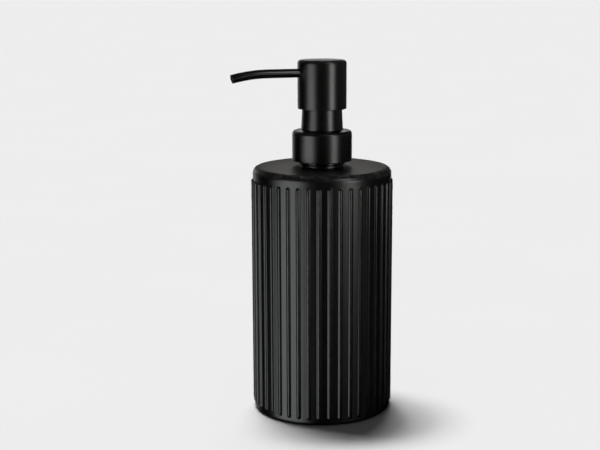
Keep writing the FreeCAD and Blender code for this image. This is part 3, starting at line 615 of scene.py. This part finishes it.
def handling_group():
    """Marks of use: soft finger smudges and a few hair-fine scratches."""
    tree, given, out = new_group("handling", [("Place", "Vector"), ("Reach", "Float")],
                                 ["Smudge", "Scratch"])
    cloud = noise(tree, given["Place"], given["Reach"], 4.0, 0.6, 0.8)
    feed(tree, out["Smudge"], remap(tree, cloud, 0.42, 0.7))
    bent = noise(tree, given["Place"], given["Reach"], 1.0)
    slid = node(tree, "VectorMath", {0: given["Place"], 1: bent}, operation="ADD").outputs[0]
    hair = stretched(tree, slid, (1.0, 1.0, 0.28))
    closer = calculate(tree, "MULTIPLY", given["Reach"], 1.7)
    edges = node(tree, "TexVoronoi", {"Vector": hair, "Scale": closer},
                 feature="DISTANCE_TO_EDGE").outputs["Distance"]
    line = remap(tree, edges, 0.0, 0.012, 1.0, 0.0)
    wider = calculate(tree, "MULTIPLY", given["Reach"], 0.8)
    some = remap(tree, noise(tree, given["Place"], wider, 2.0), 0.55, 0.65)
    feed(tree, out["Scratch"], calculate(tree, "MULTIPLY", line, some))
    return tree


def edge_wear_and_highlight_group():
    """Wear and a painted highlight, in patches, on edges and rib crests where the surface's own
    attribute for both is high.
    """
    tree, given, out = new_group("edge_wear_and_highlight", [("Place", "Vector"), ("Edge", "Float")], ["Rub"])
    patch = remap(tree, noise(tree, given["Place"], 420.0, 4.0, 0.65), 0.4, 0.72)
    feed(tree, out["Rub"], calculate(tree, "MULTIPLY", patch, given["Edge"]))
    return tree


def settled_dust_group():
    """A thin film of dust on faces that look up, thicker in cloudy patches."""
    tree, given, out = new_group("settled_dust", [("Place", "Vector"), ("Facing", "Vector")],
                                 ["Dust"])
    up = node(tree, "SeparateXYZ", {0: given["Facing"]}).outputs[2]
    level = remap(tree, up, 0.35, 0.98)
    cloud = remap(tree, noise(tree, given["Place"], 90.0, 5.0, 0.6), 0.25, 0.8, 0.45, 1.0)
    specks = remap(tree, noise(tree, given["Place"], 1900.0, 1.0), 0.66, 0.76)
    film = calculate(tree, "MULTIPLY", level, cloud)
    specks = calculate(tree, "MULTIPLY", specks, level)
    feed(tree, out["Dust"], calculate(tree, "ADD", film, specks, clamp=True))
    return tree


def moulding_group():
    """Moulded plastic: long flow clouds and a fine spark-eroded texture."""
    tree, given, out = new_group("moulding", [("Place", "Vector"), ("Fineness", "Float")],
                                 ["Height", "Cloud"])
    flow = stretched(tree, given["Place"], (1.0, 1.0, 0.25))
    feed(tree, out["Cloud"], remap(tree, noise(tree, flow, 160.0, 3.0), 0.3, 0.7))
    feed(tree, out["Height"], noise(tree, given["Place"], given["Fineness"], 3.0, 0.6))
    return tree


def drawn_metal_group():
    """Drawn or ground metal: fine rings of scoring along Z, and a slow change of tone."""
    tree, given, out = new_group("drawn_metal", [("Place", "Vector"), ("Fineness", "Float")],
                                 ["Score", "Tone"])
    rings = stretched(tree, given["Place"], (0.15, 0.15, 1.0))
    feed(tree, out["Score"], noise(tree, rings, given["Fineness"], 2.0, 0.7))
    feed(tree, out["Tone"], remap(tree, noise(tree, given["Place"], 240.0, 2.0), 0.3, 0.7))
    return tree


def foam_cells_group():
    """Closed foam: rounded cells with thin walls between them."""
    tree, given, out = new_group("foam_cells", [("Place", "Vector"), ("Fineness", "Float")],
                                 ["Height", "Wall"])
    cells = node(tree, "TexVoronoi", {"Vector": given["Place"], "Scale": given["Fineness"]},
                 feature="DISTANCE_TO_EDGE").outputs["Distance"]
    feed(tree, out["Height"], remap(tree, cells, 0.0, 0.3))
    feed(tree, out["Wall"], remap(tree, cells, 0.0, 0.08, 1.0, 0.0))
    return tree


COAT_GRAIN = coat_grain_group()
HANDLING = handling_group()
EDGE_WEAR_AND_HIGHLIGHT = edge_wear_and_highlight_group()
SETTLED_DUST = settled_dust_group()
MOULDING = moulding_group()
DRAWN_METAL = drawn_metal_group()
FOAM_CELLS = foam_cells_group()


def new_material(name, **constants):
    """A new material, its tree, its shader's inputs and the object's own coordinates."""
    material = bpy.data.materials.new(name)
    material.use_nodes = True
    tree = material.node_tree
    shader = tree.nodes["Principled BSDF"]
    for label, content in constants.items():
        shader.inputs[label.replace("_", " ")].default_value = content
    here = tree.nodes.new("ShaderNodeTexCoord").outputs
    return material, tree, shader.inputs, here


def bump(tree, height, strength, distance):
    feeds = {"Height": height, "Strength": strength, "Distance": distance}
    return node(tree, "Bump", feeds).outputs[0]


def grey(level, warmth=0.0):
    """A grey, with red raised and blue lowered by the share of warmth."""
    return (level * (1 + warmth), level, level * (1 - warmth), 1.0)


# Sprayed black: flecks are paler than the coat by FLECK_LIFT, worn edges and painted highlights on
# edges and rib crests show a paler grey, and dust DUST_TONE. The next four are what each adds to
# roughness, the last (wear and painted highlight) per unit of its strength.
FLECK_LIFT = 1.9
PALE_EDGE_AND_HIGHLIGHT = grey(0.09, 0.02)
DUST_TONE = grey(0.34, 0.06)
SMUDGE_ROUGH = -0.02
FLECK_ROUGH = 0.05
DUST_ROUGH = 0.1
WEAR_AND_HIGHLIGHT_ROUGH = -0.2
SCRATCH_DEPTH = 0.5


def black_coat(name, tone, gloss, fineness, relief, dust, wear_and_highlight):
    """Sprayed black: tone and gloss with orange peel, flecks, smudges, worn edges with a painted
    highlight, a painted highlight on rib crests, and dust.
    """
    material, tree, shader, here = new_material(name)
    grain = use(tree, COAT_GRAIN, Place=here["Object"], Fineness=fineness)
    marks = use(tree, HANDLING, Place=here["Object"], Reach=38.0)
    edge = node(tree, "Attribute", attribute_name="wear_and_highlight").outputs["Fac"]
    wear_and_highlight_mask = use(tree, EDGE_WEAR_AND_HIGHLIGHT, Place=here["Object"], Edge=edge)["Rub"]
    film = use(tree, SETTLED_DUST, Place=here["Object"], Facing=here["Normal"])["Dust"]
    colour = blend_colour(tree, grain["Fleck"], grey(tone), grey(tone * FLECK_LIFT))
    # Paler grey on rounded edges is wear with a painted rim highlight. On the rib crests it is a
    # painted highlight.
    colour = blend_colour(tree, calculate(tree, "MULTIPLY", wear_and_highlight_mask, wear_and_highlight), colour, PALE_EDGE_AND_HIGHLIGHT)
    colour = blend_colour(tree, calculate(tree, "MULTIPLY", film, dust), colour, DUST_TONE)
    feed(tree, shader["Base Color"], colour)
    rough = gloss
    for mask, change in ((marks["Smudge"], SMUDGE_ROUGH), (grain["Fleck"], FLECK_ROUGH),
                         (film, DUST_ROUGH), (wear_and_highlight_mask, wear_and_highlight * WEAR_AND_HIGHLIGHT_ROUGH)):
        rough = calculate(tree, "ADD", rough, calculate(tree, "MULTIPLY", mask, change))
    feed(tree, shader["Roughness"], rough)
    scratches = calculate(tree, "MULTIPLY", marks["Scratch"], SCRATCH_DEPTH)
    height = calculate(tree, "SUBTRACT", grain["Height"], scratches)
    feed(tree, shader["Normal"], bump(tree, height, 1.0, relief))
    return material


def plastic(name, low, high, gloss, relief, fineness=1500.0):
    """Moulded plastic between two tones, with flow clouds and a fine texture."""
    material, tree, shader, here = new_material(name)
    skin = use(tree, MOULDING, Place=here["Object"], Fineness=fineness)
    marks = use(tree, HANDLING, Place=here["Object"], Reach=60.0)
    feed(tree, shader["Base Color"], blend_colour(tree, skin["Cloud"], low, high))
    rough = calculate(tree, "ADD", gloss, calculate(tree, "MULTIPLY", marks["Smudge"], 0.08))
    feed(tree, shader["Roughness"], rough)
    feed(tree, shader["Normal"], bump(tree, skin["Height"], 1.0, relief))
    return material


def metal(name, low, high, gloss, relief, fineness):
    """Bare steel between two tones, with fine scoring."""
    material, tree, shader, here = new_material(name, Metallic=1.0)
    scoring = use(tree, DRAWN_METAL, Place=here["Object"], Fineness=fineness)
    feed(tree, shader["Base Color"], blend_colour(tree, scoring["Tone"], low, high))
    feed(tree, shader["Roughness"], remap(tree, scoring["Score"], 0.3, 0.7, gloss, gloss + 0.12))
    feed(tree, shader["Normal"], bump(tree, scoring["Score"], 0.6, relief))
    return material


def foam(name):
    """Dark closed-cell foam: pale walls between soft cells."""
    material, tree, shader, here = new_material(name)
    cells = use(tree, FOAM_CELLS, Place=here["Object"], Fineness=1700.0)
    feed(tree, shader["Base Color"], blend_colour(tree, cells["Wall"], grey(0.018), grey(0.035)))
    feed(tree, shader["Roughness"], remap(tree, cells["Height"], 0.0, 1.0, 0.95, 0.8))
    feed(tree, shader["Normal"], bump(tree, cells["Height"], 0.8, 0.0002))
    return material


# In each coat the last value sets how strongly edges and rib crests turn paler and glossier: wear
# with a painted highlight.
COATS = {
    "bottle_satin_black": dict(tone=0.004, gloss=0.33, fineness=1500.0, relief=0.000014,
                               dust=0.008, wear_and_highlight=0.4),
    "pump_satin_black": dict(tone=0.006, gloss=0.31, fineness=2200.0, relief=0.00002,
                             dust=0.02, wear_and_highlight=0.3),
    "spout_gloss_black": dict(tone=0.004, gloss=0.2, fineness=1800.0, relief=0.000008,
                              dust=0.02, wear_and_highlight=0.2),
}
PLASTICS = {
    "neck_gloss_black": dict(low=grey(0.008), high=grey(0.012), gloss=0.16, relief=0.000006),
    "pump_plastic": dict(low=grey(0.72, 0.015), high=grey(0.8, 0.01), gloss=0.38,
                         relief=0.00002),
    "piston_plastic": dict(low=grey(0.8, 0.01), high=grey(0.87, 0.005), gloss=0.5,
                           relief=0.00002),
    "liner_plastic": dict(low=grey(0.022), high=grey(0.034), gloss=0.42, relief=0.00002),
    "dip_tube_plastic": dict(low=(0.78, 0.81, 0.82, 1), high=(0.86, 0.88, 0.88, 1), gloss=0.3,
                             relief=0.00001),
    "seal_rubber": dict(low=grey(0.03), high=grey(0.045), gloss=0.62, relief=0.00004,
                        fineness=2600.0),
}
METALS = {
    "spring_steel": dict(low=grey(0.5, 0.01), high=grey(0.62, 0.005), gloss=0.24,
                         relief=0.00001, fineness=2400.0),
    "ball_steel": dict(low=grey(0.62), high=grey(0.72), gloss=0.06, relief=0.000003,
                       fineness=900.0),
}
FINISHES = {name: black_coat(name, **look) for name, look in COATS.items()}
FINISHES |= {name: plastic(name, **look) for name, look in PLASTICS.items()}
FINISHES["foam_pad"] = foam("foam_pad")
FINISHES |= {name: metal(name, **look) for name, look in METALS.items()}


# ---------------------------------------------------------------- pieces

PIECES = {
    "bottle_satin_black": [make_bottle()],
    "pump_satin_black": [make_head(), make_collar(), make_sleeve()],
    "spout_gloss_black": [make_spout()],
    "spring_steel": [make_spring()],
}
for finish, pieces in PIECES.items():
    for piece in pieces:
        piece.data.materials.append(FINISHES[finish])

for part in frame["record"]["subparts"]:
    cad_node = frame["nodes"][part["node"]]
    cad_node.data.materials.clear()
    cad_node.data.materials.append(FINISHES[part["material_slot"]])


# ---------------------------------------------------------------- studio

CAMERA_SIDE = math.radians(-19.1)
CAMERA_DISTANCE = 0.6355
CAMERA_HEIGHT = 0.2236
CAMERA_PITCH = math.radians(11.15)
IMAGE_WIDTH = 600
FOCAL_LENGTH = 1229
SENSOR = 36.0
VIEW_COLUMN = 322.07
FLOOR_REACH = 40.0
# Where each overhead light stands for one unit of height: how far left and how far behind.
OVERHEAD_SLOPES = [(0.02, 0.24), (0.12, 0.24), (0.25, 0.2)]
OVERHEAD_STRENGTH = 3.3
OVERHEAD_ANGLE = math.radians(11)
WORLD_FILL = 0.05
WORLD_SEEN = 0.88
# Name, bearing in degrees, distance, lowest and highest point, width, radiance and colour.
SOFTBOXES = [
    ("key_left", -52, 0.9, -0.005, 0.2, 0.54, 3.5, (1.0, 0.98, 1.0)),
    ("key_low", -55, 0.9, -0.55, -0.005, 0.9, 3.1, (0.95, 1.0, 0.99)),
    ("strip_right", 47, 0.9, 0.02, 0.2, 0.32, 8.5, (0.98, 1.0, 0.95)),
    ("back_low", 180, 1.6, -0.3, 0.22, 1.5, 0.3, (1.0, 1.0, 1.0)),
    ("top_card", 180, 0.12, 0.187, 0.202, 0.08, 3.4, (1.0, 0.98, 0.95)),
    ("back_high", -174, 1.6, 0.22, 1.1, 1.4, 0.13, (1.0, 0.97, 0.92)),
    ("high_right", 45, 0.9, 0.45, 1.2, 0.3, 4.0, (1.0, 1.0, 1.0)),
    ("back_left", -148, 1.3, -0.6, 0.5, 0.5, 0.55, (1.0, 1.0, 1.0)),
    ("side_right", 112, 1.1, 0.05, 0.5, 1.0, 0.11, (1.0, 1.0, 1.0)),
]


def bearing(degrees):
    """Level direction, turned from the way to the camera: positive is to its right."""
    turn = CAMERA_SIDE + math.radians(degrees)
    return Vector((math.sin(turn), -math.cos(turn), 0))


def aimed(content, towards):
    """A camera or a light that looks along a direction."""
    made = bpy.data.objects.new(content.name, content)
    bpy.context.scene.collection.objects.link(made)
    made.rotation_mode = "QUATERNION"
    made.rotation_quaternion = towards.to_track_quat("-Z", "Y")
    return made


def make_camera():
    away = bearing(0)
    look = -away * math.cos(CAMERA_PITCH) - Vector((0, 0, math.sin(CAMERA_PITCH)))
    camera = aimed(bpy.data.cameras.new("camera"), look)
    camera.location = away * CAMERA_DISTANCE + Vector((0, 0, CAMERA_HEIGHT))
    camera.data.sensor_width = SENSOR
    camera.data.lens = FOCAL_LENGTH / IMAGE_WIDTH * SENSOR
    camera.data.shift_x = (IMAGE_WIDTH / 2 - VIEW_COLUMN) / IMAGE_WIDTH
    camera.data.clip_start = 0.01
    bpy.context.scene.camera = camera


def softbox(name, side, distance, low, high, width, radiance, colour):
    """An upright rectangular light on a bearing, facing the object.

    It shows only as a highlight. Its power is radiance times pi times its area.
    """
    light = bpy.data.lights.new(name, "AREA")
    light.shape = "RECTANGLE"
    light.size = width
    light.size_y = high - low
    light.color = colour
    light.energy = radiance * math.pi * width * (high - low)
    lamp = aimed(light, -bearing(side))
    lamp.location = bearing(side) * distance + Vector((0, 0, (low + high) / 2))
    lamp.visible_camera = False
    lamp.visible_diffuse = False


def make_floor():
    """A square of pale floor, FLOOR_REACH to each side, with a faint cloud in its tone."""
    mesh = bpy.data.meshes.new("floor")
    signs = [(-1, -1), (1, -1), (1, 1), (-1, 1)]
    mesh.from_pydata([(x * FLOOR_REACH, y * FLOOR_REACH, 0) for x, y in signs], [], [(0, 1, 2, 3)])
    floor = bpy.data.objects.new("floor", mesh)
    bpy.context.scene.collection.objects.link(floor)
    material, tree, shader, here = new_material("floor_white", Specular_IOR_Level=0.0)
    cloud = noise(tree, here["Object"], 6.0, 2.0)
    feed(tree, shader["Base Color"], blend_colour(tree, cloud, grey(0.79), grey(0.81)))
    feed(tree, shader["Roughness"], 0.9)
    mesh.materials.append(material)
    floor.visible_glossy = False


def make_daylight():
    """Broad light from overhead, a little behind and to the left, and a faint even fill."""
    for number, (left, behind) in enumerate(OVERHEAD_SLOPES):
        sun = bpy.data.lights.new(f"overhead_{number}", "SUN")
        sun.energy = OVERHEAD_STRENGTH / len(OVERHEAD_SLOPES)
        sun.angle = OVERHEAD_ANGLE
        towards = -bearing(-90) * left - bearing(180) * behind - Vector((0, 0, 1))
        aimed(sun, towards).visible_glossy = False
    world = bpy.data.worlds.new("studio")
    world.use_nodes = True
    tree = world.node_tree
    backdrop = tree.nodes["Background"]
    camera_ray = tree.nodes.new("ShaderNodeLightPath").outputs["Is Camera Ray"]
    backdrop.inputs["Color"].default_value = (1, 1, 1, 1)
    strength = remap(tree, camera_ray, 0.0, 1.0, WORLD_FILL, WORLD_SEEN)
    feed(tree, backdrop.inputs["Strength"], strength)
    world.cycles_visibility.glossy = False
    bpy.context.scene.world = world


make_camera()
make_floor()
make_daylight()
for light in SOFTBOXES:
    softbox(*light)
bpy.context.scene.view_settings.view_transform = "Standard"
